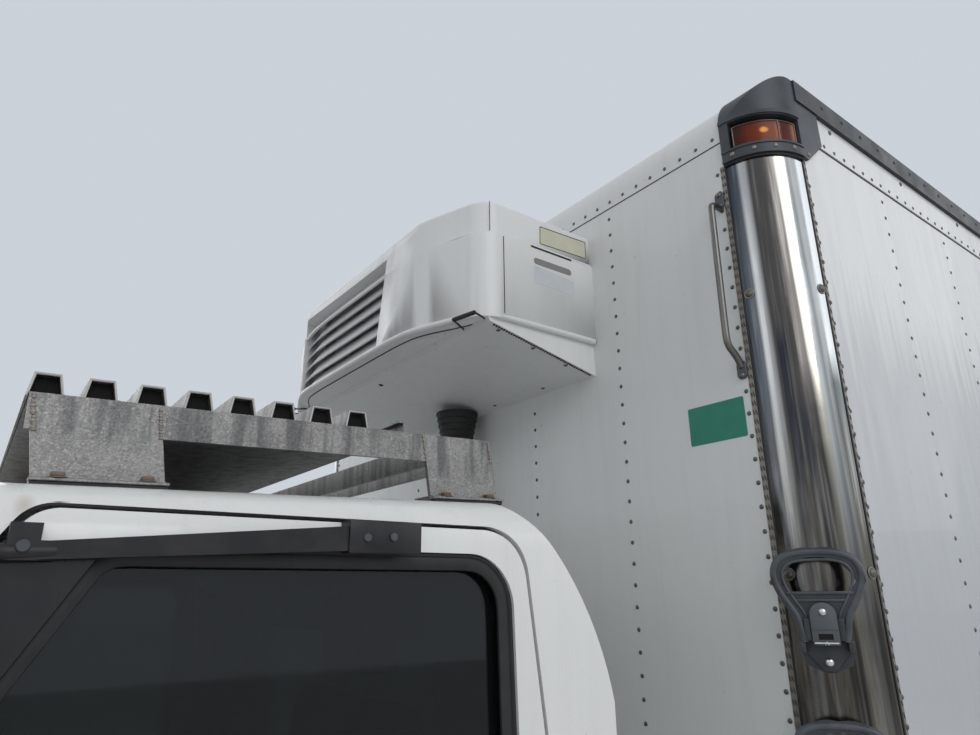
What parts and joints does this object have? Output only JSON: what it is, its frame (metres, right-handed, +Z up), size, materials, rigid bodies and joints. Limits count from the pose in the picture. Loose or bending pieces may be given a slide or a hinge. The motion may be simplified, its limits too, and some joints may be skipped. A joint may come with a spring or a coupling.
{
  "type": "refrigerated truck",
  "caption": "Hooded day-cab truck with a riveted insulated box, nose-mounted cooling unit, polished corner posts, folding corner steps and swing rear doors.",
  "frame": {"origin": "on the ground, at the middle of the truck's length and width", "axes": "+X towards the front bumper, +Y to the driver's left, +Z up"},
  "size_m": [9.3, 2.77, 3.472],
  "materials": {
    "floor_aluminium": "mill",
    "box_skin": "satin",
    "cab_paint": "gloss",
    "glass": "clear tinted",
    "unit_grille": "satin",
    "unit_paint": "satin",
    "dark_casting": "satin",
    "polished_steel": "mirror polished",
    "dark_plastic": "grained",
    "black_steel": "satin",
    "cast_iron": "rough",
    "bumper_steel": "gloss",
    "wheel_paint": "gloss",
    "tyre": "matte",
    "tank_aluminium": "satin",
    "handle_steel": "brushed",
    "lamp_glass": "clear",
    "grille_plastic": "satin",
    "hood_paint": "gloss",
    "black_rubber": "matte",
    "lamp_plastic": "gloss",
    "rear_frame_steel": "brushed",
    "mill_aluminium": "weathered mill",
    "seat_fabric": "woven",
    "dark_rail": "satin"
  },
  "bodies": {
    "root": {"box_floor": "floor_aluminium", "box_front_wall": "box_skin", "box_roof": "box_skin", "box_side_walls": "box_skin", "cab_back_wall": "cab_paint", "cab_floor": "cab_paint", "cab_front_frame": "cab_paint", "cab_glass": "glass", "cab_roof": "cab_paint", "cab_side_frames": "cab_paint", "cooling_unit_grille": "unit_grille", "cooling_unit_pan": "unit_paint", "cooling_unit_shell": "unit_paint", "corner_castings": "dark_casting", "corner_posts": "polished_steel", "dashboard": "dark_plastic", "drive_shaft": "black_steel", "engine_block": "cast_iron", "front_axle_beam": "black_steel", "front_bumper": "bumper_steel", "fuel_tanks": "tank_aluminium", "grab_handle": "handle_steel", "hose_boot": "black_rubber", "ladder_frame": "black_steel", "leaf_springs": "black_steel", "marker_lamps": "lamp_plastic", "mud_flaps": "black_rubber", "rear_axle_housing": "black_steel", "rear_bumper": "black_steel", "rear_frame_posts": "rear_frame_steel", "rear_header": "rear_frame_steel", "rear_sill": "rear_frame_steel", "roof_platform": "mill_aluminium", "seats": "seat_fabric", "top_rails": "dark_rail"},
    "knuckle_left": {"steering_knuckle_left": "black_steel"},
    "front_wheel_left": {"front_tyre_left": "tyre", "front_rim_left": "wheel_paint"},
    "rear_wheels_left": {"rear_tyres_left": "tyre", "rear_rims_left": "wheel_paint"},
    "cab_door_left": {"cab_door_left": "cab_paint", "door_glass_left": "glass", "door_mirror_left": "dark_plastic"},
    "rear_door_left": {"rear_door_left": "box_skin"},
    "knuckle_right": {"steering_knuckle_right": "black_steel"},
    "front_wheel_right": {"front_tyre_right": "tyre", "front_rim_right": "wheel_paint"},
    "rear_wheels_right": {"rear_tyres_right": "tyre", "rear_rims_right": "wheel_paint"},
    "cab_door_right": {"cab_door_right": "cab_paint", "door_glass_right": "glass", "door_mirror_right": "dark_plastic"},
    "rear_door_right": {"rear_door_right": "box_skin"},
    "hood": {"hood_shell": "hood_paint", "hood_grille": "grille_plastic", "headlamps": "lamp_glass"},
    "step_upper": {"corner_step_upper": "dark_casting"},
    "step_high": {"corner_step_high": "dark_casting"},
    "step_middle": {"corner_step_middle": "dark_casting"},
    "step_lower": {"corner_step_lower": "dark_casting"}
  },
  "joints": [
    {"name": "steer_left", "type": "hinge", "parent": "root", "child": "knuckle_left", "pos_m": [3.572, 0.86, 0.506], "axis": [0, 0, 1], "range_deg": [-32, 32]},
    {"name": "front_wheel_spin_left", "type": "hinge", "parent": "knuckle_left", "child": "front_wheel_left", "pos_m": [3.572, 1.03, 0.506], "axis": [0, 1, 0], "continuous": true},
    {"name": "rear_wheel_spin_left", "type": "hinge", "parent": "root", "child": "rear_wheels_left", "pos_m": [-2.018, 0.914, 0.506], "axis": [0, 1, 0], "continuous": true},
    {"name": "cab_door_hinge_left", "type": "hinge", "parent": "root", "child": "cab_door_left", "pos_m": [3.001, 1.048, 1.325], "axis": [0, 0, -1], "range_deg": [0, 68]},
    {"name": "rear_door_hinge_left", "type": "hinge", "parent": "root", "child": "rear_door_left", "pos_m": [-4.618, 1.227, 2.2], "axis": [0, 0, -1], "range_deg": [0, 258]},
    {"name": "steer_right", "type": "hinge", "parent": "root", "child": "knuckle_right", "pos_m": [3.572, -0.86, 0.506], "axis": [0, 0, 1], "range_deg": [-32, 32]},
    {"name": "front_wheel_spin_right", "type": "hinge", "parent": "knuckle_right", "child": "front_wheel_right", "pos_m": [3.572, -1.03, 0.506], "axis": [0, 1, 0], "continuous": true},
    {"name": "rear_wheel_spin_right", "type": "hinge", "parent": "root", "child": "rear_wheels_right", "pos_m": [-2.018, -0.914, 0.506], "axis": [0, 1, 0], "continuous": true},
    {"name": "cab_door_hinge_right", "type": "hinge", "parent": "root", "child": "cab_door_right", "pos_m": [3.001, -1.048, 1.325], "axis": [0, 0, 1], "range_deg": [0, 68]},
    {"name": "rear_door_hinge_right", "type": "hinge", "parent": "root", "child": "rear_door_right", "pos_m": [-4.618, -1.227, 2.2], "axis": [0, 0, 1], "range_deg": [0, 258]},
    {"name": "hood_tilt", "type": "hinge", "parent": "root", "child": "hood", "pos_m": [4.56, 0, 0.7], "axis": [0, 1, 0], "range_deg": [0, 60]},
    {"name": "step_fold_upper", "type": "hinge", "parent": "root", "child": "step_upper", "pos_m": [1.50537, 1.168, 2.178], "axis": [-0.5, 0.866, 0], "range_deg": [0, 90]},
    {"name": "step_fold_high", "type": "hinge", "parent": "root", "child": "step_high", "pos_m": [1.50537, 1.168, 1.8732], "axis": [-0.5, 0.866, 0], "range_deg": [0, 90]},
    {"name": "step_fold_middle", "type": "hinge", "parent": "root", "child": "step_middle", "pos_m": [1.50537, 1.168, 1.5684], "axis": [-0.5, 0.866, 0], "range_deg": [0, 90]},
    {"name": "step_fold_lower", "type": "hinge", "parent": "root", "child": "step_lower", "pos_m": [1.50537, 1.168, 1.2636], "axis": [-0.5, 0.866, 0], "range_deg": [0, 90]}
  ],
  "couplings": [
    {"joint": "steer_right", "follows": "steer_left", "ratio": 1}
  ]
}
